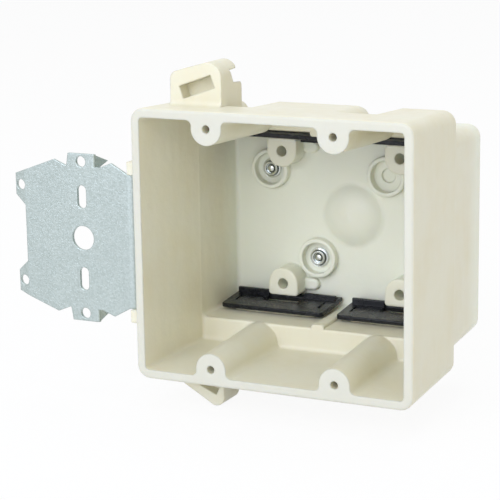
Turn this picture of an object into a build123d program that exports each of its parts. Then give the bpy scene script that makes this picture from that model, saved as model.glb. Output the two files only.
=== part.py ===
"""Two-gang moulded switch box with a folded steel stud bracket and four hinged cable clamps.

X runs to the right, Y from the open front to the back wall, Z up. All sizes are millimetres.
The origin is the centre of the open front, on the face of the four device screw bosses.
"""
import os
from math import cos, radians, sin, sqrt, tan

from build123d import *

# Box body; drafts are in degrees, and the device holes are a little off its middle
body_width = 102.75
body_height = 95.25
body_depth = 71.5
body_shift = -0.52
front_depth = 42.0
rear_height = 75.8
rear_drop = 0.35
rear_step = 0.25
wall = 3.2
ledge_wall = 2.9
ledge_rise = 0.8
left_draft = 2.15
right_draft = 0.45
rear_right_draft = 2.3
front_draft = 2.3
rear_draft = 1.0
hollow_left_draft = 4.4
hollow_right_draft = 1.9
edge_radius = 4.6
step_radius = 2.0
rim_radius = 0.9
inner_edge_radius = 1.6
inner_back_radius = 1.5
riser_foot_radius = 1.3
brink_radius = 0.9

# Device screw bosses and their ridges
gang_spacing = 46.04
device_height = 83.34
boss_radius = 5.6
boss_draft = 2.4
boss_fillet = 2.0
device_hole_radius = 1.4
device_hole_depth = 16.0
groove_start = 19.0

# Posts on the back wall
post_inset = 10.25
post_length = 8.8
post_radius = 5.85
post_flat = 4.4
post_corner_radius = 1.2
post_hole_radius = 2.0
post_hole_depth = 8.0
post_edge_radius = 0.6
nub_reach = 5.4
nub_height = 4.4
nub_depth = 2.0
nub_offset = 1.2
nub_edge_radius = 0.9

# Rings round the rivet holes in the back wall
ring_upper = (-7.8, 16.7)
ring_lower = (11.1, -15.6)
ring_radius = 7.4
ring_bore_radius = 5.85
ring_proud = 2.9
ring_floor_depth = 3.1
ring_edge_radius = 0.5
rivet_hole_radius = 2.0
spare_dimple_radius = 2.6
spare_dimple_depth = 0.9

# Dome in the middle of the back wall, hollow behind
dome_centre = (1.8, 1.2)
dome_radius = 11.6
dome_height = 3.8
dome_root_radius = 3.0

# Cable entries in the top and bottom of the rear section
entry_offset = 4.6
entry_length = 9.4
entry_side_margin = 4.3
entry_corner_radius = 1.5
divider_width = 4.8
divider_height = 1.3
divider_radius = 1.1

# Nail holders, seen from the front
holder_side_offset = 27.5
holder_width = 19.6
holder_front = 14.8
holder_depth = 15.6
holder_rise = 16.6
holder_slope = 15.5
holder_left_radius = 3.2
holder_right_radius = 5.0
holder_foot_radius = 1.8
hook_depth = 12.4
hook_radius = 1.2
nail_window = (12.8, 4.6)
nail_slope = 19.4
nail_window_offset = (-9.4, 6.45)
nail_window_depth = 5.6
nail_channel_wall = 8.1
nail_channel_height = 4.3
nail_channel_lean = 2.4
nail_channel_fall = 0.6
nail_channel_corner = 1.5
lower_front = 12.6
lower_depth = 11.7
lower_drop = 13.85
lower_slope = 30.2
lower_window = (11.0, 4.3)
lower_nail_slope = 24.5
lower_window_offset = (-7.2, -3.4)
lower_window_depth = 4.6
lower_channel_wall = 8.6
lower_channel_rise = 1.2
lower_corner_radius = 3.15

# Lugs that locate the bracket on the left wall
lug_height = 4.6
lug_depth = 5.0
lug_start = 1.6
lug_proud = 3.2

# Bracket of folded sheet; its plate is measured out from the bend and up from the leg's edge
sheet = 1.2
bracket_front = 2.4
bracket_height = 47.6
bracket_gap = 0.1
bracket_bend = 2.2
bracket_back_bend = 1.8
bracket_corner = 3.0
back_leg_margin = 6.0
plate_hole_out = 18.2
plate_hole_radius = 4.35
slot_half_spacing = 14.7
slot_length = 8.3
slot_width = 3.6
tab_hole_up = 3.4
tab_hole_radius = 1.95
side_tab_hole_out = 43.3
side_tab_hole_down = 6.4
side_tab_hole_radius = 1.9
shoulder = (6.3, 3.5)
notch_out = 11.0
notch_up = 1.7
tab_start = 12.7
tab_end = 23.3
tab_top = 6.2
valley = (24.1, 1.5)
far_peak = (29.3, 3.6)
side_tab_out = 45.6
side_tab_top = -2.4
side_tab_bottom = -10.0
plate_out = 41.5
plate_step = -13.6
side_tab_fold = 10.0
side_tab_fold_radius = 0.8
spur_low = 0.2
spur_tips = {1: (9.6, 26.4), -1: (6.8, -28.2)}
spur_bend_radius = 0.9

# Rivets
rivet_fit = 0.05
rivet_flange_radius = 3.7
rivet_flange = 0.6
rivet_roll_radius = 2.75
rivet_roll_height = 1.3
rivet_cup_radius = 1.95
rivet_pin_radius = 1.35
rivet_pin_height = 1.3
rivet_head_radius = 3.6
rivet_head_height = 1.1
rivet_head_edge_radius = 0.9

# Cable clamps
clamp_side_gap = 2.35
clamp_middle_gap = 2.7
clamp_reach = 16.2
clamp_tail = 2.8
clamp_sheet = 1.5
clamp_tail_sheet = 1.2
clamp_tilt = 4.6
clamp_corner_radius = 1.6
clamp_edge_radius = 0.4
hinge_inset = 3.5
hinge_radius = 1.6
hinge_fit = 0.1
bar_inset = 1.1
rail_reach = 2.6
rail_step = 0.65
rail_height = 2.1
post_side_gap = 0.9
post_front_gap = 2.7
tab_height = 2.75
tab_thickness = 1.7
tab_setback = 1.6
slit_inset = 3.7
slit_width = 0.8
slit_start = 4.6
slit_length = 6.6
pad_gap = 0.15
pad_length = 3.0
pad_inset = 1.4

OVERLAP = 1.0
gang_x = gang_spacing / 2
device_z = device_height / 2
back_inner = body_depth - wall
riser = front_depth - wall
post_face = back_inner - post_length
hinge_y = back_inner - hinge_inset


def fall(length, degrees):
    """How far a drafted wall leans over a length."""
    return length * tan(radians(degrees))


def front_half_height(y):
    return body_height / 2 - fall(y, front_draft)


def rear_half_height(y):
    return rear_height / 2 - fall(y - front_depth, rear_draft)


def left_side(y):
    """Outside of the left wall, which is one plane over both sections."""
    return body_shift - body_width / 2 + fall(y, left_draft)


def front_outside(y):
    """Left, right, bottom and top of the front section."""
    right = body_shift + body_width / 2 - fall(y, right_draft)
    return left_side(y), right, -front_half_height(y), front_half_height(y)


def rear_outside(y):
    right = front_outside(front_depth)[1] - rear_step - fall(y - front_depth, rear_right_draft)
    half = rear_half_height(y)
    return left_side(y), right, -half - rear_drop, half - rear_drop


def front_inside(y):
    left = left_side(0) + wall + fall(y, hollow_left_draft)
    right = front_outside(0)[1] - wall - fall(y, hollow_right_draft)
    half = front_half_height(y) - wall
    return left, right, -half, half


def rear_inside(y):
    left, right = front_inside(riser)[:2]
    half = rear_half_height(y) - ledge_wall
    return left, right - fall(y - riser, rear_draft), ledge_rise - half, ledge_rise + half


post_z = rear_half_height(riser) - ledge_wall - post_inset
hinge_z = post_z + post_flat + hinge_fit + hinge_radius
clamp_half = min(-rear_inside(hinge_y)[0] - clamp_side_gap - gang_x, gang_x - clamp_middle_gap)
bar_half = clamp_half - bar_inset
holder_right = left_side(0) + holder_side_offset


def front_plane(y, x=0.0, z=0.0):
    """A drawing plane that faces the viewer, with local x to the right and local y up."""
    return Plane(origin=(x, y, z), x_dir=(1, 0, 0), z_dir=(0, -1, 0))


def push(sketch, depth):
    """Extrudes a sketch on a front plane towards the back."""
    return extrude(sketch, amount=-depth)


def tapered_block(start, end, section, radius):
    """A drafted block with rounded long edges; section gives its four sides at a depth."""
    outlines = []
    for y in (start, end):
        left, right, low, high = section(y)
        plane = front_plane(y, x=(left + right) / 2, z=(low + high) / 2)
        outlines.append(plane * RectangleRounded(right - left, high - low, radius))
    return loft(outlines)


def boss_profile(radius, fillet_radius, height, overlap):
    """Half-round boss that flares into a wall at the given height above the boss centre."""
    reach = radius + fillet_radius
    foot = sqrt(reach ** 2 - (height - fillet_radius) ** 2)
    share = radius / reach
    neck = (foot * share, (height - fillet_radius) * share)
    middle = (foot, height - fillet_radius)
    slope = (middle[0] - neck[0], middle[1] - neck[1])
    mid_x = (foot + neck[0]) / 2 - middle[0]
    mid_y = (height + neck[1]) / 2 - middle[1]
    scale = fillet_radius / sqrt(mid_x ** 2 + mid_y ** 2)
    belly = (middle[0] + mid_x * scale, middle[1] + mid_y * scale)
    edges = [
        Line((-foot, height + overlap), (foot, height + overlap)),
        Line((foot, height + overlap), (foot, height)),
        ThreePointArc((foot, height), belly, neck),
        ThreePointArc(neck, (0, -radius), (-neck[0], neck[1])),
        ThreePointArc((-neck[0], neck[1]), (-belly[0], belly[1]), (-foot, height)),
        Line((-foot, height), (-foot, height + overlap)),
    ]
    return make_face(edges)


def boss_run(start, end, radius, fillet_radius, wall_inset, overlap, column, side):
    """A boss profile lofted along Y: it widens with its draft and follows the drafted wall."""
    sections = []
    for y in (start, end):
        height = front_half_height(y) - wall_inset - device_z
        profile = boss_profile(radius + fall(y, boss_draft), fillet_radius, height, overlap)
        plane = Plane(origin=(column, y, side * device_z), x_dir=(side, 0, 0), z_dir=(0, -1, 0))
        sections.append(plane * profile)
    return loft(sections)


def shell():
    """The two drafted sections, hollowed to the wall thickness."""
    front = tapered_block(0, front_depth, front_outside, edge_radius)
    front = fillet(front.faces().sort_by(Axis.Y)[-1].edges(), step_radius)
    front = fillet(front.faces().sort_by(Axis.Y)[0].outer_wire().edges(), rim_radius)
    rear = tapered_block(riser, body_depth, rear_outside, edge_radius)
    rear = fillet(rear.faces().sort_by(Axis.Y)[-1].edges(), step_radius)

    front_hollow = tapered_block(-OVERLAP, riser, front_inside, edge_radius - wall)
    front_hollow = fillet(front_hollow.faces().sort_by(Axis.Y)[-1].edges(), riser_foot_radius)
    rear_hollow = tapered_block(riser - 2 * OVERLAP, back_inner, rear_inside, inner_edge_radius)
    rear_hollow = fillet(rear_hollow.faces().sort_by(Axis.Y)[-1].edges(), inner_back_radius)
    body = front + rear - front_hollow - rear_hollow
    left, right = rear_inside(riser)[:2]
    for side in (-1, 1):
        brink = Rectangle(brink_radius, brink_radius, align=(Align.MIN, Align.MIN))
        brink -= Pos(brink_radius, brink_radius) * Circle(brink_radius)
        corner = Plane(origin=(left, riser, ledge(side)), x_dir=(0, 1, 0), z_dir=(side, 0, 0))
        body -= extrude(corner * brink, amount=right - left, dir=(1, 0, 0))
    return body


def device_bosses(body):
    """Four screw bosses with ridges inside, cored from outside by a groove open at the back."""
    for side in (-1, 1):
        for column in (-gang_x, gang_x):
            ridge = boss_run(0, riser + OVERLAP, boss_radius, boss_fillet, wall, wall / 2, column, side)
            body += ridge
            core = boss_run(groove_start, front_depth + OVERLAP, boss_radius - wall, boss_fillet + wall,
                            0, OVERLAP, column, side)
            body -= core
            hole = front_plane(-OVERLAP, column, side * device_z) * Circle(device_hole_radius)
            body -= push(hole, device_hole_depth + OVERLAP)
    return body


def post_outline(side):
    """D outline of a post: round towards the middle of the box, flat towards the clamp."""
    flat = Rectangle(2 * post_radius, post_flat, align=(Align.CENTER, Align.MIN))
    corners = flat.vertices().sort_by(Axis.Y)[-2:]
    round_side = Circle(post_radius) & Pos(0, -post_radius) * Rectangle(4 * post_radius, 2 * post_radius)
    outline = round_side + fillet(corners, post_corner_radius)
    return outline if side > 0 else Rot(0, 0, 180) * outline


def posts(body):
    """Four drilled posts on the back wall, each with a low nub that keeps the clamp's bar down."""
    for side in (-1, 1):
        for column in (-gang_x, gang_x):
            plane = front_plane(post_face, column, side * post_z)
            post = push(plane * post_outline(side), post_length + OVERLAP)
            post = fillet(post.faces().sort_by(Axis.Y)[0].edges(), post_edge_radius)
            nub_middle = side * (post_flat - nub_offset - nub_height / 2)
            outline = Pos(0, nub_middle) * SlotOverall(2 * (post_radius + nub_reach), nub_height)
            outline &= Pos(post_radius / 2, nub_middle) * Rectangle(2 * post_radius, nub_height,
                                                                   align=(Align.MIN, Align.CENTER))
            nub_plane = front_plane(back_inner - nub_depth, column, side * post_z)
            nub = push(nub_plane * outline, nub_depth + OVERLAP)
            nub = fillet(nub.faces().sort_by(Axis.Y)[0].edges(), nub_edge_radius)
            hole = push(plane * Circle(post_hole_radius), post_hole_depth)
            body = body + post + nub - hole
    return body


def ring_places():
    """Centres of the four rings, a pair in each gang, with the left pair first."""
    return [(column + dx, dz) for column in (-gang_x, gang_x) for dx, dz in (ring_upper, ring_lower)]


def rivet_rings(body):
    """Raised rings with a sunk floor: two hold the rivets and two are spare, with a dimple."""
    face = back_inner - ring_proud
    for index, (x, z) in enumerate(ring_places()):
        plane = front_plane(face, x, z)
        ring = push(plane * Circle(ring_radius), ring_proud + OVERLAP)
        ring = fillet(ring.faces().sort_by(Axis.Y)[0].edges(), ring_edge_radius)
        body = body + ring - push(plane * Circle(ring_bore_radius), ring_floor_depth)
        if index < 2:
            body -= push(plane * Circle(rivet_hole_radius), body_depth + OVERLAP - face)
        else:
            body -= push(plane * Circle(spare_dimple_radius), ring_floor_depth + spare_dimple_depth)
    return body


def dome_cap(radius, height, root_radius):
    """A spherical cap that flares into the plane it stands on, turned about its own Z axis."""
    sphere = (radius ** 2 + height ** 2) / (2 * height)
    cap = Pos(0, 0, height - sphere) * Sphere(sphere)
    cap &= Pos(0, 0, height) * Box(4 * radius, 4 * radius, 2 * height)
    base = Pos(0, 0, -OVERLAP / 2) * Cylinder(radius + 2 * root_radius, OVERLAP)
    joined = cap + base
    seam = [edge for edge in joined.edges().filter_by(GeomType.CIRCLE)
            if abs(edge.radius - radius) < OVERLAP / 10 and abs(edge.center().Z) < OVERLAP / 10]
    return fillet(seam, root_radius)


def back_dome(body):
    """Shallow dome inside the back wall, with the same hollow on its outside."""
    inner = Plane(origin=(dome_centre[0], back_inner, dome_centre[1]), z_dir=(0, -1, 0))
    outer = Plane(origin=(dome_centre[0], body_depth, dome_centre[1]), z_dir=(0, -1, 0))
    body += inner * dome_cap(dome_radius, dome_height, dome_root_radius)
    hollow = dome_cap(dome_radius - wall / 2, dome_height - wall / 4, dome_root_radius)
    return body - outer * hollow


def ledge(side):
    """Height of the inner face of the ledge above or below, at the step."""
    low, high = rear_inside(riser)[2:]
    return high if side > 0 else low


def cable_entries(body):
    """One entry under each clamp, and a rounded divider between the clamps of each ledge."""
    for side in (-1, 1):
        floor = ledge(side)
        length = back_inner - riser + OVERLAP
        rail = Box(divider_width, length, 2 * divider_height)
        crest = rail.edges().filter_by(Axis.Y).sort_by(Axis.Z)
        rail = fillet(crest[:2] if side > 0 else crest[-2:], divider_radius)
        body += Pos(0, back_inner + OVERLAP - length / 2, floor) * rail
        for column in (-gang_x, gang_x):
            middle = hinge_y - entry_offset - entry_length / 2
            plane = Plane(origin=(column, middle, floor), z_dir=(0, 0, side))
            outline = RectangleRounded(2 * (clamp_half - entry_side_margin), entry_length,
                                       entry_corner_radius)
            entry = extrude(plane * outline, amount=2 * wall)
            entry += extrude(plane * outline, amount=-wall / 2)
            body -= entry
            pad_top = hinge_z + hinge_radius + pad_gap
            for end in (-1, 1):
                x = column + end * (bar_half - pad_inset - pad_length / 2)
                pad = Box(pad_length, 2 * hinge_radius, abs(floor) + OVERLAP - pad_top,
                          align=(Align.CENTER, Align.CENTER, Align.MIN))
                pad = pad if side > 0 else Rot(180, 0, 0) * pad
                body += Pos(x, hinge_y, side * pad_top) * pad
    return body


def slanted_slot(size, slope, centre, start, depth):
    """A rectangular slot on a slope in the front view, cut over a depth."""
    outline = Pos(*centre) * Rot(0, 0, slope) * Rectangle(*size)
    return push(front_plane(start) * outline, depth)


def nail_plane(centre, slope):
    """Section plane across a nail: local x runs to the back, local y up across the nail."""
    run = radians(slope)
    return Plane(origin=(centre[0], 0, centre[1]), x_dir=(0, 1, 0), z_dir=(cos(run), 0, sin(run)))


def upper_nail_holder(body):
    """Upright block with a slanted window in front and a hooked nail channel open at the back."""
    base = front_half_height(holder_front)
    left = holder_right - holder_width
    top_right = base + holder_rise
    top_left = top_right - holder_width * tan(radians(holder_slope))
    sunk = base - wall
    outline = Polygon((left, sunk), (holder_right, sunk), (holder_right, top_right), (left, top_left),
                      align=None)
    top_corners = outline.vertices().sort_by(Axis.Y)[-2:].sort_by(Axis.X)
    outline = fillet(top_corners[0], holder_left_radius)
    outline = fillet(outline.vertices().sort_by(Axis.Y)[-1], holder_right_radius)
    block = push(front_plane(holder_front) * outline, holder_depth)

    foot = Rectangle(holder_foot_radius, holder_foot_radius, align=(Align.MAX, Align.MIN))
    foot -= Pos(-holder_foot_radius, holder_foot_radius) * Circle(holder_foot_radius)
    foot_plane = Plane(origin=(left, holder_front, base), x_dir=(0, 1, 0), z_dir=(1, 0, 0))
    block += extrude(foot_plane * foot, amount=holder_width)

    centre = (holder_right + nail_window_offset[0], base + nail_window_offset[1])
    window_start = holder_front - holder_foot_radius
    block -= slanted_slot(nail_window, nail_slope, centre, window_start,
                          holder_foot_radius + nail_window_depth)
    front = holder_front + nail_channel_wall
    back = holder_front + holder_depth
    hook = holder_front + hook_depth
    half = nail_channel_height / 2
    channel = Polygon((front - nail_channel_lean / 2, half), (front + nail_channel_lean / 2, -half),
                      (back + OVERLAP, -half - nail_channel_fall), (back + OVERLAP, holder_rise),
                      (hook, holder_rise), (hook, half), align=None)
    hook_corner = channel.vertices().sort_by_distance((hook, half))[0]
    channel = fillet(hook_corner, hook_radius)
    plane = nail_plane(centre, nail_slope)
    block -= extrude(plane * channel, amount=holder_width, both=True)
    corner = plane.from_local_coords(Vector(back, -half - nail_channel_fall, 0))
    block = fillet(block.edges().sort_by_distance(corner)[0], nail_channel_corner)
    return body + block


def lower_nail_holder(body):
    """Wedge below the box with the same slanted window, and a shallow nail channel behind."""
    base = -front_half_height(lower_front)
    bottom = base - lower_drop
    left = holder_right - (lower_drop + wall / 2) / tan(radians(lower_slope))
    outline = Polygon((holder_right, bottom), (holder_right, base + wall / 2), (left, base + wall / 2),
                      align=None)
    outline = fillet(outline.vertices().sort_by(Axis.Y)[0], lower_corner_radius)
    block = push(front_plane(lower_front) * outline, lower_depth)
    centre = (holder_right + lower_window_offset[0], base + lower_window_offset[1])
    block -= slanted_slot(lower_window, -lower_nail_slope, centre, lower_front - OVERLAP,
                          lower_window_depth + OVERLAP)
    through = (3 * holder_width, lower_window[1])
    raised = (centre[0], centre[1] + lower_channel_rise)
    block -= slanted_slot(through, -lower_nail_slope, raised, lower_front + lower_channel_wall, lower_depth)
    return body + block


def bracket_lugs(body):
    """Two small blocks on the left wall, above and below the bracket."""
    for side in (-1, 1):
        middle = side * (bracket_height / 2 + bracket_gap + lug_height / 2)
        reach = lug_proud + wall / 2
        lug = Box(reach, lug_depth, lug_height, align=(Align.MAX, Align.MIN, Align.CENTER))
        lug = fillet(lug.faces().sort_by(Axis.X)[0].edges(), lug_proud / 4)
        body += Pos(left_side(lug_start) + wall / 2, lug_start, middle) * lug
    return body


def box_body():
    body = back_dome(device_bosses(shell()))
    body = cable_entries(rivet_rings(posts(body)))
    body = upper_nail_holder(body)
    body = lower_nail_holder(body)
    return bracket_lugs(body)


def plate_corner():
    """Where the flat front leg ends and its bend towards the back begins."""
    return left_side(bracket_front) - bracket_gap - sheet - bracket_bend


def plate_point(out, up):
    """A point of the plate, out from the bend and up from the edge of the leg."""
    return plate_corner() - out, bracket_height / 2 + up


def plate_outline():
    """Upper half of the bracket's front leg, mirrored to the lower half."""
    edge = [
        (0, 0), shoulder, (notch_out, notch_up), (tab_start, notch_up), (tab_start, tab_top),
        (tab_end, tab_top), valley, far_peak, (side_tab_out, side_tab_top),
        (side_tab_out, side_tab_bottom), (plate_out, plate_step), (plate_out, -bracket_height / 2),
    ]
    points = [(plate_corner(), 0)] + [plate_point(*place) for place in edge]
    upper = Polygon(*points, align=None)
    return upper + mirror(upper, about=Plane.XZ)


def plate_holes():
    """Openings of the front leg: a round hole, two slots and four nail holes."""
    column = plate_point(plate_hole_out, 0)[0]
    tab_column, tab_z = plate_point(plate_hole_out, tab_hole_up)
    side_column, side_z = plate_point(side_tab_hole_out, -side_tab_hole_down)
    holes = Pos(column, 0) * Circle(plate_hole_radius)
    for side in (-1, 1):
        slot = Rot(0, 0, 90) * SlotOverall(slot_length, slot_width)
        holes += Pos(column, side * slot_half_spacing) * slot
        holes += Pos(tab_column, side * tab_z) * Circle(tab_hole_radius)
        holes += Pos(side_column, side * side_z) * Circle(side_tab_hole_radius)
    return holes


def folded_strip():
    """The sheet before its outline is cut: side tabs, plate, left leg and back leg."""
    front_y = bracket_front + sheet / 2
    back_y = body_depth + bracket_gap + sheet / 2
    offset = bracket_gap + sheet / 2
    end_x = max(x for x, z in ring_places()[:2]) + back_leg_margin
    fold_x = plate_point(plate_out, 0)[0]
    tip_x = plate_point(side_tab_out, 0)[0] - OVERLAP
    path = FilletPolyline(
        (tip_x, front_y + fall(fold_x - tip_x, side_tab_fold)), (fold_x, front_y),
        (left_side(front_y) - offset, front_y), (left_side(back_y) - offset, back_y), (end_x, back_y),
        radius=[side_tab_fold_radius + sheet / 2, bracket_bend + sheet / 2, bracket_back_bend + sheet / 2])
    return extrude(trace(path, sheet), amount=bracket_height, both=True)


def stud_bracket():
    """One folded sheet: nailing plate in front, leg along the left wall, riveted leg behind."""
    blank_depth = 2 * sheet + 2 * OVERLAP
    front_blank = push(front_plane(bracket_front - OVERLAP) * plate_outline(), blank_depth)
    legs = Pos(plate_corner(), 0, 0) * Box(2 * body_width, 4 * body_depth, bracket_height,
                                           align=(Align.MIN, Align.CENTER, Align.CENTER))
    bracket = folded_strip() & (front_blank + legs)
    back_corners = bracket.edges().filter_by(Axis.Y).sort_by(Axis.X)[-2:]
    bracket = fillet(back_corners, bracket_corner)
    bracket -= push(front_plane(bracket_front - OVERLAP) * plate_holes(), blank_depth)
    bend_x, top = plate_point(tab_start, tab_top)
    for side, (length, tip_z) in spur_tips.items():
        foot_z = bracket_height / 2 + spur_low
        spur = Polygon((bracket_front, side * foot_z), (bracket_front, side * top),
                       (bracket_front + length, tip_z), align=None)
        plane = Plane(origin=(bend_x, 0, 0), x_dir=(0, 1, 0), z_dir=(1, 0, 0))
        bracket += extrude(plane * spur, amount=sheet, dir=(-1, 0, 0))
    for side in spur_tips:
        bend = bracket.edges().filter_by(Axis.Z).sort_by_distance((bend_x, bracket_front, side * top))[0]
        bracket = fillet(bend, spur_bend_radius)
    for x, z in ring_places()[:2]:
        bracket -= push(front_plane(body_depth, x, z) * Circle(rivet_hole_radius), 2 * sheet)
    return bracket


def rivet(x, z):
    """Rolled rivet: flange, rolled rim and pin inside the box, domed head behind the bracket."""
    floor = back_inner - ring_proud + ring_floor_depth
    seat = body_depth + bracket_gap + sheet
    shank_radius = rivet_hole_radius - rivet_fit
    flange = push(front_plane(floor - rivet_flange) * Circle(rivet_flange_radius), rivet_flange)
    shank = push(front_plane(floor) * Circle(shank_radius), seat - floor)
    rim_start = floor - rivet_flange - rivet_roll_height
    rim = push(front_plane(rim_start) * Circle(rivet_roll_radius), rivet_roll_height)
    rim = fillet(rim.faces().sort_by(Axis.Y)[0].edges(), (rivet_roll_radius - rivet_cup_radius) / 2)
    cup = push(front_plane(rim_start) * Circle(rivet_cup_radius), rivet_roll_height)
    pin = push(front_plane(floor - rivet_flange - rivet_pin_height) * Circle(rivet_pin_radius),
               rivet_pin_height)
    pin = fillet(pin.faces().sort_by(Axis.Y)[0].edges(), rivet_pin_radius / 2)
    head = Plane(origin=(0, seat, 0), z_dir=(0, 1, 0)) * Cylinder(
        rivet_head_radius, rivet_head_height, align=(Align.CENTER, Align.CENTER, Align.MIN))
    head = fillet(head.faces().sort_by(Axis.Y)[-1].edges(), rivet_head_edge_radius)
    return Pos(x, 0, z) * (rim - cup + pin + flange + shank + head)


def cable_clamp():
    """One clamp in its own frame: hinge line on X, flap towards the front, locating tab on top."""
    window = post_radius + post_side_gap
    notch_front = hinge_y - post_face + post_front_gap
    flap_outline = Rectangle(2 * clamp_half, clamp_reach, align=(Align.CENTER, Align.MAX))
    flap_outline = fillet(flap_outline.vertices().sort_by(Axis.Y)[:2], clamp_corner_radius)
    flap = extrude(flap_outline, amount=clamp_sheet / 2, both=True)
    flap = fillet(flap.faces().sort_by(Axis.Z)[-1].edges().sort_by(Axis.Y)[0], clamp_edge_radius)
    tail = Box(2 * clamp_half, clamp_tail, clamp_tail_sheet, align=(Align.CENTER, Align.MIN, Align.MAX))
    tail = Pos(0, 0, clamp_sheet / 2) * tail
    notch = Box(2 * window, notch_front + clamp_tail, 4 * clamp_sheet,
                align=(Align.CENTER, Align.MAX, Align.CENTER))
    leaf = flap + tail - Pos(0, clamp_tail, 0) * notch
    for side in (-1, 1):
        slit = Box(slit_width, slit_length, 2 * clamp_sheet, align=(Align.CENTER, Align.MAX, Align.CENTER))
        leaf -= Pos(side * (clamp_half - slit_inset), -slit_start, 0) * slit
    leaf = Rot(clamp_tilt, 0, 0) * leaf
    bar = Rot(0, 90, 0) * Cylinder(hinge_radius, 2 * bar_half)
    length = bar_half - window
    stairs = Polygon((0, 0), (0, rail_height), (-rail_reach + 2 * rail_step, rail_height),
                     (-rail_reach + 2 * rail_step, rail_height - rail_step),
                     (-rail_reach + rail_step, rail_height - rail_step),
                     (-rail_reach + rail_step, rail_height - 2 * rail_step),
                     (-rail_reach, rail_height - 2 * rail_step), (-rail_reach, 0), align=None)
    rail_plane = Plane(origin=(window, 0, 0), x_dir=(0, 1, 0), z_dir=(1, 0, 0))
    rail = extrude(rail_plane * stairs, amount=length, dir=(1, 0, 0))
    tab = Box(length, tab_thickness, tab_height, align=(Align.CENTER, Align.CENTER, Align.MIN))
    tab = fillet(tab.edges().filter_by(Axis.X).group_by(Axis.Z)[-1], tab_thickness / 4)
    tab = Pos(-window - length / 2, -tab_setback - tab_thickness / 2, 0) * tab
    return leaf + bar + rail + tab


def clamp_at(column, side):
    """The clamp is the same piece everywhere: the top ones are turned half round about Y."""
    clamp = cable_clamp()
    if side > 0:
        clamp = Rot(0, 180, 0) * clamp
    return Pos(column, hinge_y, side * hinge_z) * clamp


def parts():
    upper, lower = ring_places()[:2]
    return {
        "box_body": box_body(),
        "stud_bracket": stud_bracket(),
        "rivet_upper": rivet(*upper),
        "rivet_lower": rivet(*lower),
        "clamp_bottom_left": clamp_at(-gang_x, -1),
        "clamp_bottom_right": clamp_at(gang_x, -1),
        "clamp_top_left": clamp_at(-gang_x, 1),
        "clamp_top_right": clamp_at(gang_x, 1),
    }


os.makedirs("parts", exist_ok=True)
for name, solid in parts().items():
    export_step(solid, f"parts/{name}.step")
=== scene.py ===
"""Looks of the two-gang switch box: moulded fibreglass, galvanised sheet, zinc rivets and black nylon."""
import math

import bpy
from mathutils import Matrix, Vector


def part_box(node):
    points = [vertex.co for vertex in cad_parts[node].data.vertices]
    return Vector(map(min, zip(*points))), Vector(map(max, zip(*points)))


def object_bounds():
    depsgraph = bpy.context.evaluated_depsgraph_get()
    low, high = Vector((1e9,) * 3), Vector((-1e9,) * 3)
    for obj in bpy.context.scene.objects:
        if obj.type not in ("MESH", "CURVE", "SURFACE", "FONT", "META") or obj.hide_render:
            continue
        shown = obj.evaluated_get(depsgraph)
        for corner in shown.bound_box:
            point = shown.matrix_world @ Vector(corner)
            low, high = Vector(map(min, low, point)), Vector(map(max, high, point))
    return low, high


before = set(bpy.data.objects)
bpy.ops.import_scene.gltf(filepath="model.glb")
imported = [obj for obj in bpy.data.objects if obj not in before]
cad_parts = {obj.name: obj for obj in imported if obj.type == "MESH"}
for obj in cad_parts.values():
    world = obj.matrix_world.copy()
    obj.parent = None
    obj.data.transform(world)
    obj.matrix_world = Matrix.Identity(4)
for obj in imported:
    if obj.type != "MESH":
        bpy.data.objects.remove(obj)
cad_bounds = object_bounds()

# Camera, fitted to the screw holes and edges in the photograph, which is 500 pixels square
IMAGE_PIXELS = 500
FOCAL_PIXELS = 1828.368
SENSOR_MM = 36.0
CAMERA_PLACE = (0.253978, -0.534983, 0.137508)
CAMERA_YAW = math.radians(26.027)
CAMERA_PITCH = math.radians(12.832)
CAMERA_ROLL = math.radians(-0.895)

# Lights: place in metres, side in metres, watts and colour
KEY = ((-0.10, -1.40, 0.70), 1.3, 15.7, (0.95, 1.01, 1.20))
FILL = ((1.10, -0.75, 0.45), 1.0, 1.7, (1.00, 0.93, 0.62))
TOP = ((0.00, 0.15, 1.20), 1.0, 5.0, (0.95, 1.00, 1.08))
LIT_POINT = (0.0, 0.03, 0.0)
WORLD_STRENGTH = 0.54

# Floor: half its side in metres, its colour and the share of plain white that the camera sees
FLOOR_HALF = 6.0
FLOOR_COLOUR = (0.90, 0.90, 0.90, 1.0)
FLOOR_ROUGHNESS = 0.9
FLOOR_GLOW = 0.92
WHITE = (1.0, 1.0, 1.0, 1.0)

# Below, colours are linear red, green and blue, and sizes and depths are in metres. A range is the part
# of a noise between none and all of a mark, and a share is the most that a mark covers what is under it.
EDGE_ROUND = 0.0009
EDGE_SAMPLES = 6
NOISE_MIDDLE = (0.3, 0.7)

# Fibreglass: clouds, upright flow marks, short fibres, painted light on a paler, cooler back wall and
# painted shade on a darker, duller rim
IVORY = (0.765, 0.735, 0.575)
IVORY_WARM = (0.74, 0.675, 0.47)
IVORY_COOL = (0.785, 0.765, 0.625)
IVORY_SHARE = 0.65
CLOUD_SIZE = 0.022
CLOUD_RANGE = (0.35, 0.65)
FLOW_SIZE = 0.0045
FLOW_STRETCH = (1.0, 1.0, 0.18)
FLOW_TURN = (0.06, 0.0, 0.0)
FLOW_RANGE = (0.42, 0.66)
FLOW_SHARE = 0.30
FIBRE_SIZE = 0.0022
FIBRE_STRETCH = (1.0, 3.2, 1.0)
FIBRE_TURN = (0.4, 0.2, 0.6)
FIBRE_RANGE = (0.60, 0.72)
FIBRE_SHARE = 0.12
# Painted light: a paler, cooler colour that the back wall is given in place of light.
IVORY_PAINTED_BACK_LIGHT = (0.83, 0.845, 0.715)
PAINTED_BACK_LIGHT_BLEND = (0.056, 0.066)
PAINTED_BACK_LIGHT_SHARE = 0.85
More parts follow.
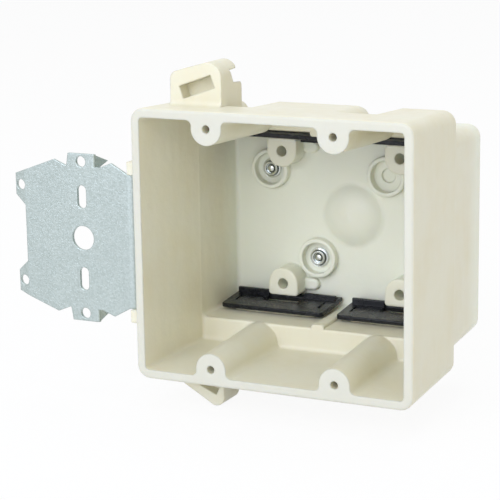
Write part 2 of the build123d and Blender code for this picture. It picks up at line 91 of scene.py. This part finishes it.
# Painted shade: a darker colour for the front rim; the rim's added roughness is real.
IVORY_PAINTED_RIM_SHADE = (0.60, 0.60, 0.53)
RIM_DEPTH = 0.0006
PAINTED_RIM_SHADE_SHARE = 0.7
RIM_ADDED_ROUGHNESS = 0.12
IVORY_ROUGHNESS = (0.32, 0.44)
IVORY_ROUGHNESS_SIZE = 0.004
WAVE_SIZE = 0.006
WAVE_DEPTH = 0.00018
GRAIN_SIZE = 0.0009
GRAIN_DEPTH = 0.00004
IVORY_SPECULAR = 0.5
IVORY_SUBSURFACE = 0.15
IVORY_SUBSURFACE_RADIUS = (1.0, 0.75, 0.40)
IVORY_SUBSURFACE_SCALE = 0.003

# Galvanised sheet: crystal flakes, darker patches and rolling lines
ZINC = (0.50, 0.575, 0.555)
ZINC_DARK = (0.38, 0.44, 0.43)
ZINC_LIGHT = (0.60, 0.66, 0.66)
ZINC_SHARE = 0.6
ZINC_ROUGHNESS = (0.36, 0.48)
SPANGLE_SIZE = 0.0006
SPANGLE_DEPTH = 0.00003
PATCH_SIZE = 0.016
PATCH_RANGE = (0.35, 0.7)
PATCH_SHARE = 0.18
ROLLING_SIZE = 0.004
ROLLING_STRETCH = (1.0, 1.0, 30.0)
ROLLING_DEPTH = 0.00002

# Rivets: a painted highlight in the middle, painted reflections as darker rings around it over real
# turned rings, and a matt patina in places
RIVET_ZINC = (0.67, 0.70, 0.67)
# Colour of the patina and of the painted reflection rings.
RIVET_PATINA_AND_PAINTED_REFLECTION = (0.17, 0.19, 0.185)
RIVET_ROUGHNESS = (0.16, 0.26)
# Painted highlight: the bright middle ends between these radii.
RIVET_PAINTED_HIGHLIGHT_RADII = (0.0009, 0.00108)
RIVET_RING_RADIUS = 0.0015
RIVET_RING_STEP = 0.00125
RIVET_RING_DEPTH = 0.00005
# Painted reflections: range and share of the darker rings in the colour.
RIVET_PAINTED_RING_RANGE = (0.0, 0.9)
RIVET_PAINTED_RING_SHARE = 0.9
PATINA_SIZE = 0.0025
PATINA_RANGE = (0.40, 0.75)
PATINA_SHARE = 0.3
RIVET_MARK_SIZE = 0.0010
RIVET_MARK_DEPTH = 0.000008

# Nylon: faint pale marks and a slightly wavy gloss
NYLON = (0.008, 0.009, 0.011)
NYLON_WORN = (0.022, 0.024, 0.028)
NYLON_MARK_SIZE = 0.003
NYLON_MARK_RANGE = (0.52, 0.75)
NYLON_ROUGHNESS = (0.20, 0.34)
NYLON_WAVE_SIZE = 0.003
NYLON_WAVE_DEPTH = 0.00005
NYLON_SPECULAR = 0.3


class Nodes:
    """Short names for building a node tree."""

    def __init__(self, tree):
        self.tree = tree

    def add(self, kind, **inputs):
        node = self.tree.nodes.new(kind)
        for name, value in inputs.items():
            node.inputs[name.replace("_", " ")].default_value = value
        return node

    def link(self, source, target):
        self.tree.links.new(source, target)

    def place(self, scale=(1.0, 1.0, 1.0), turn=(0.0, 0.0, 0.0)):
        """Object coordinates, in metres of the shared frame, scaled and turned."""
        coordinates = self.add("ShaderNodeTexCoord")
        mapping = self.add("ShaderNodeMapping", Scale=scale, Rotation=turn)
        self.link(coordinates.outputs["Object"], mapping.inputs["Vector"])
        return mapping.outputs["Vector"]

    def noise(self, place, size, detail=3.0, roughness=0.5):
        """Noise with features of about the given size in metres."""
        node = self.add("ShaderNodeTexNoise", Scale=1.0 / size, Detail=detail, Roughness=roughness)
        self.link(place, node.inputs["Vector"])
        return node.outputs["Fac"]

    def spread(self, value, low, high, to_low=0.0, to_high=1.0):
        """A value between low and high, moved to lie between two others."""
        node = self.add("ShaderNodeMapRange",
                        From_Min=low, From_Max=high, To_Min=to_low, To_Max=to_high)
        self.link(value, node.inputs["Value"])
        return node.outputs["Result"]

    def mix(self, factor, first, second):
        """A colour between two colours or colour outputs."""
        node = self.add("ShaderNodeMix")
        node.data_type = "RGBA"
        for slot, value in ((6, first), (7, second)):
            if isinstance(value, tuple):
                node.inputs[slot].default_value = (*value, 1.0)
            else:
                self.link(value, node.inputs[slot])
        if isinstance(factor, float):
            node.inputs[0].default_value = factor
        else:
            self.link(factor, node.inputs[0])
        return node.outputs[2]

    def math(self, operation, first, second=0.0):
        """A sum, product, maximum or the like of two outputs, or of an output and a number."""
        node = self.add("ShaderNodeMath")
        node.operation = operation
        self.link(first, node.inputs[0])
        if isinstance(second, float):
            node.inputs[1].default_value = second
        else:
            self.link(second, node.inputs[1])
        return node.outputs[0]

    def axis(self, place, letter):
        """One coordinate of a place, in metres."""
        node = self.add("ShaderNodeSeparateXYZ")
        self.link(place, node.inputs["Vector"])
        return node.outputs[letter]

    def seen_directly(self):
        """One for rays from the camera and for the rays that gloss and glass send out, else zero."""
        rays = self.add("ShaderNodeLightPath").outputs
        mirrored = self.math("MAXIMUM", rays["Is Glossy Ray"], rays["Is Transmission Ray"])
        return self.math("MAXIMUM", rays["Is Camera Ray"], mirrored)

    def soft_edges(self, radius):
        """A normal that rounds the model's edges over a small radius."""
        node = self.add("ShaderNodeBevel", Radius=radius)
        node.samples = EDGE_SAMPLES
        return node.outputs["Normal"]

    def bump(self, height, distance, under=None):
        """A normal with relief of the given depth, over another normal if there is one."""
        node = self.add("ShaderNodeBump", Strength=1.0, Distance=distance)
        self.link(height, node.inputs["Height"])
        if under is not None:
            self.link(under, node.inputs["Normal"])
        return node.outputs["Normal"]

    def blend(self, factor, first, second):
        """A shader between two shaders."""
        node = self.add("ShaderNodeMixShader")
        for slot, source in enumerate((factor, first, second)):
            self.link(source, node.inputs[slot])
        return node.outputs["Shader"]


def material(name):
    """A new material with its node helper and its Principled shader."""
    made = bpy.data.materials.new(name)
    made.use_nodes = True
    return made, Nodes(made.node_tree), made.node_tree.nodes["Principled BSDF"]


def fibreglass():
    """Ivory moulding compound: cloudy flow marks, fine short fibres, a soft gloss, painted light on the
    back wall and painted shade on a duller rim.
    """
    made, nodes, shader = material("moulded_fibreglass")
    place = nodes.place()
    clouds = nodes.spread(nodes.noise(place, CLOUD_SIZE, detail=2.0), *CLOUD_RANGE)
    colour = nodes.mix(clouds, IVORY_WARM, IVORY_COOL)
    colour = nodes.mix(IVORY_SHARE, colour, IVORY)
    flow_noise = nodes.noise(nodes.place(FLOW_STRETCH, FLOW_TURN), FLOW_SIZE, detail=2.0)
    flow = nodes.spread(flow_noise, *FLOW_RANGE, 0.0, FLOW_SHARE)
    colour = nodes.mix(flow, colour, IVORY_COOL)
    fibre_noise = nodes.noise(nodes.place(FIBRE_STRETCH, FIBRE_TURN), FIBRE_SIZE)
    fibres = nodes.spread(fibre_noise, *FIBRE_RANGE, 0.0, FIBRE_SHARE)
    colour = nodes.mix(fibres, colour, IVORY_WARM)
    depth = nodes.axis(place, "Y")
    # Painted light: the colour turns paler and cooler towards the back wall.
    colour = nodes.mix(nodes.spread(depth, *PAINTED_BACK_LIGHT_BLEND, 0.0, PAINTED_BACK_LIGHT_SHARE), colour, IVORY_PAINTED_BACK_LIGHT)
    # Painted shade: the front rim is darkened in colour; its added roughness below is real.
    rim = nodes.spread(depth, RIM_DEPTH, RIM_DEPTH / 2)
    colour = nodes.mix(nodes.math("MULTIPLY", rim, PAINTED_RIM_SHADE_SHARE), colour, IVORY_PAINTED_RIM_SHADE)
    nodes.link(colour, shader.inputs["Base Color"])

    rough = nodes.spread(nodes.noise(place, IVORY_ROUGHNESS_SIZE), *NOISE_MIDDLE, *IVORY_ROUGHNESS)
    rough = nodes.math("ADD", rough, nodes.math("MULTIPLY", rim, RIM_ADDED_ROUGHNESS))
    nodes.link(rough, shader.inputs["Roughness"])
    waves = nodes.noise(place, WAVE_SIZE, detail=2.0)
    grain = nodes.noise(place, GRAIN_SIZE, detail=4.0, roughness=0.6)
    normal = nodes.bump(waves, WAVE_DEPTH, under=nodes.soft_edges(EDGE_ROUND))
    normal = nodes.bump(grain, GRAIN_DEPTH, under=normal)
    nodes.link(normal, shader.inputs["Normal"])
    shader.inputs["Specular IOR Level"].default_value = IVORY_SPECULAR
    shader.inputs["Subsurface Weight"].default_value = IVORY_SUBSURFACE
    shader.inputs["Subsurface Radius"].default_value = IVORY_SUBSURFACE_RADIUS
    shader.inputs["Subsurface Scale"].default_value = IVORY_SUBSURFACE_SCALE
    return made


def galvanised():
    """Zinc-coated sheet: small crystal flakes that differ in tone and tilt, with faint rolling lines."""
    made, nodes, shader = material("galvanised_sheet")
    place = nodes.place()
    flakes = nodes.add("ShaderNodeTexVoronoi", Scale=1.0 / SPANGLE_SIZE)
    nodes.link(place, flakes.inputs["Vector"])
    separate = nodes.add("ShaderNodeSeparateColor")
    nodes.link(flakes.outputs["Color"], separate.inputs["Color"])
    tone, gloss, tilt = (separate.outputs[name] for name in ("Red", "Green", "Blue"))
    colour = nodes.mix(tone, ZINC_DARK, ZINC_LIGHT)
    colour = nodes.mix(ZINC_SHARE, colour, ZINC)
    patches = nodes.spread(nodes.noise(place, PATCH_SIZE), *PATCH_RANGE, 0.0, PATCH_SHARE)
    colour = nodes.mix(patches, colour, ZINC_DARK)
    nodes.link(colour, shader.inputs["Base Color"])
    nodes.link(nodes.spread(gloss, 0.0, 1.0, *ZINC_ROUGHNESS), shader.inputs["Roughness"])
    lines = nodes.noise(nodes.place(ROLLING_STRETCH), ROLLING_SIZE)
    normal = nodes.bump(tilt, SPANGLE_DEPTH, under=nodes.soft_edges(EDGE_ROUND / 2))
    normal = nodes.bump(lines, ROLLING_DEPTH, under=normal)
    nodes.link(normal, shader.inputs["Normal"])
    shader.inputs["Metallic"].default_value = 1.0
    return made


def distance_from_middle(nodes, place, node):
    """Distance, in metres, from the upright-and-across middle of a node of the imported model."""
    low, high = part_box(node)
    squares = []
    for letter, i in (("X", 0), ("Z", 2)):
        offset = nodes.math("SUBTRACT", nodes.axis(place, letter), (low[i] + high[i]) / 2)
        squares.append(nodes.math("POWER", offset, 2.0))
    return nodes.math("POWER", nodes.math("ADD", *squares), 0.5)


def zinc_rivet(node):
    """Bright plated rivet with turned rings about its middle, painted reflections as darker rings over
    them, a painted highlight in the middle, and a little matt and patinated in places.
    """
    made, nodes, shader = material(f"zinc_{node}")
    place = nodes.place()
    radius = distance_from_middle(nodes, place, node)
    past_ring = nodes.math("SUBTRACT", radius, RIVET_RING_RADIUS)
    rings = nodes.math("COSINE", nodes.math("MULTIPLY", past_ring, 2 * math.pi / RIVET_RING_STEP))
    # Painted highlight in the middle and painted reflections as darker rings around it, taken from the
    # turned-ring wave.
    past_painted_highlight = nodes.spread(radius, *RIVET_PAINTED_HIGHLIGHT_RADII)
    painted_ring_tone = nodes.spread(rings, *RIVET_PAINTED_RING_RANGE, 0.0, RIVET_PAINTED_RING_SHARE)
    painted_reflection_rings = nodes.math("MULTIPLY", painted_ring_tone, past_painted_highlight)
    patina_noise = nodes.noise(place, PATINA_SIZE, detail=2.0)
    patina = nodes.spread(patina_noise, *PATINA_RANGE, 0.0, PATINA_SHARE)
    # Real patina and painted reflection rings together.
    patina_and_painted_reflection = nodes.math("MAXIMUM", painted_reflection_rings, patina)
    nodes.link(nodes.mix(patina_and_painted_reflection, RIVET_ZINC, RIVET_PATINA_AND_PAINTED_REFLECTION), shader.inputs["Base Color"])
    rough = nodes.spread(patina, 0.0, PATINA_SHARE, *RIVET_ROUGHNESS)
    nodes.link(rough, shader.inputs["Roughness"])
    normal = nodes.bump(rings, RIVET_RING_DEPTH, under=nodes.soft_edges(EDGE_ROUND / 3))
    normal = nodes.bump(nodes.noise(place, RIVET_MARK_SIZE), RIVET_MARK_DEPTH, under=normal)
    nodes.link(normal, shader.inputs["Normal"])
    shader.inputs["Metallic"].default_value = 1.0
    return made


def black_nylon():
    """Glossy black moulding with faint pale flow marks."""
    made, nodes, shader = material("black_nylon")
    place = nodes.place()
    mark_noise = nodes.noise(place, NYLON_MARK_SIZE, detail=4.0, roughness=0.6)
    marks = nodes.spread(mark_noise, *NYLON_MARK_RANGE)
    nodes.link(nodes.mix(marks, NYLON, NYLON_WORN), shader.inputs["Base Color"])
    rough = nodes.spread(nodes.noise(place, NYLON_MARK_SIZE), *NOISE_MIDDLE, *NYLON_ROUGHNESS)
    nodes.link(rough, shader.inputs["Roughness"])
    waves = nodes.noise(place, NYLON_WAVE_SIZE, detail=2.0)
    normal = nodes.bump(waves, NYLON_WAVE_DEPTH, under=nodes.soft_edges(EDGE_ROUND / 3))
    nodes.link(normal, shader.inputs["Normal"])
    shader.inputs["Specular IOR Level"].default_value = NYLON_SPECULAR
    return made


def dress(node, made):
    """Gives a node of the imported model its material."""
    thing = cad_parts[node]
    thing.data.materials.clear()
    thing.data.materials.append(made)


def floor_material():
    """Pale floor that looks white to the camera and to gloss, and keeps the soft shadow."""
    made, nodes, shader = material("pale_floor")
    shader.inputs["Base Color"].default_value = FLOOR_COLOUR
    shader.inputs["Roughness"].default_value = FLOOR_ROUGHNESS
    glow = nodes.add("ShaderNodeEmission", Color=WHITE)
    shown = nodes.math("MULTIPLY", nodes.seen_directly(), FLOOR_GLOW)
    both = nodes.blend(shown, shader.outputs["BSDF"], glow.outputs["Emission"])
    nodes.link(both, made.node_tree.nodes["Material Output"].inputs["Surface"])
    return made


def make_floor():
    """Flat floor at the object's lowest point."""
    low = cad_bounds[0][2]
    corners = [(-FLOOR_HALF, -FLOOR_HALF, low), (FLOOR_HALF, -FLOOR_HALF, low),
               (FLOOR_HALF, FLOOR_HALF, low), (-FLOOR_HALF, FLOOR_HALF, low)]
    mesh = bpy.data.meshes.new("floor")
    mesh.from_pydata(corners, [], [(0, 1, 2, 3)])
    floor = bpy.data.objects.new("floor", mesh)
    bpy.context.scene.collection.objects.link(floor)
    floor.data.materials.append(floor_material())


def make_world():
    """White world for the camera and for gloss, and a plain even light for the rest."""
    world = bpy.data.worlds.new("studio")
    bpy.context.scene.world = world
    world.use_nodes = True
    tree = world.node_tree
    nodes = Nodes(tree)
    light = tree.nodes["Background"]
    light.inputs["Color"].default_value = WHITE
    light.inputs["Strength"].default_value = WORLD_STRENGTH
    white = nodes.add("ShaderNodeBackground", Color=WHITE, Strength=1.0)
    both = nodes.blend(nodes.seen_directly(), light.outputs["Background"], white.outputs["Background"])
    nodes.link(both, tree.nodes["World Output"].inputs["Surface"])


def soft_light(name, place, side, watts, colour):
    """Square soft lamp aimed at the box."""
    lamp = bpy.data.lights.new(name, "AREA")
    lamp.size = side
    lamp.energy = watts
    lamp.color = colour
    holder = bpy.data.objects.new(name, lamp)
    holder.location = place
    aim = Vector(LIT_POINT) - Vector(place)
    holder.rotation_euler = aim.to_track_quat("-Z", "Y").to_euler()
    bpy.context.scene.collection.objects.link(holder)


def make_camera():
    """Camera at the photograph's place, angle and lens."""
    forward = Vector((-math.sin(CAMERA_YAW) * math.cos(CAMERA_PITCH),
                      math.cos(CAMERA_YAW) * math.cos(CAMERA_PITCH),
                      -math.sin(CAMERA_PITCH)))
    level = Vector((math.cos(CAMERA_YAW), math.sin(CAMERA_YAW), 0.0))
    upright = level.cross(forward)
    right = math.cos(CAMERA_ROLL) * level + math.sin(CAMERA_ROLL) * upright
    up = math.cos(CAMERA_ROLL) * upright - math.sin(CAMERA_ROLL) * level
    turn = Matrix((right, up, -forward)).transposed().to_4x4()
    lens = bpy.data.cameras.new("camera")
    lens.sensor_width = SENSOR_MM
    lens.lens = SENSOR_MM * FOCAL_PIXELS / IMAGE_PIXELS
    camera = bpy.data.objects.new("camera", lens)
    camera.matrix_world = Matrix.Translation(CAMERA_PLACE) @ turn
    bpy.context.scene.collection.objects.link(camera)
    bpy.context.scene.camera = camera


def main():
    make_camera()
    make_world()
    make_floor()
    soft_light("key", *KEY)
    soft_light("fill", *FILL)
    soft_light("top", *TOP)
    bpy.context.scene.view_settings.view_transform = "Standard"

    dress("box_body", fibreglass())
    dress("stud_bracket", galvanised())
    for node in ("rivet_upper", "rivet_lower"):
        dress(node, zinc_rivet(node))
    nylon = black_nylon()
    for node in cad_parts:
        if node.startswith("clamp_"):
            dress(node, nylon)


main()
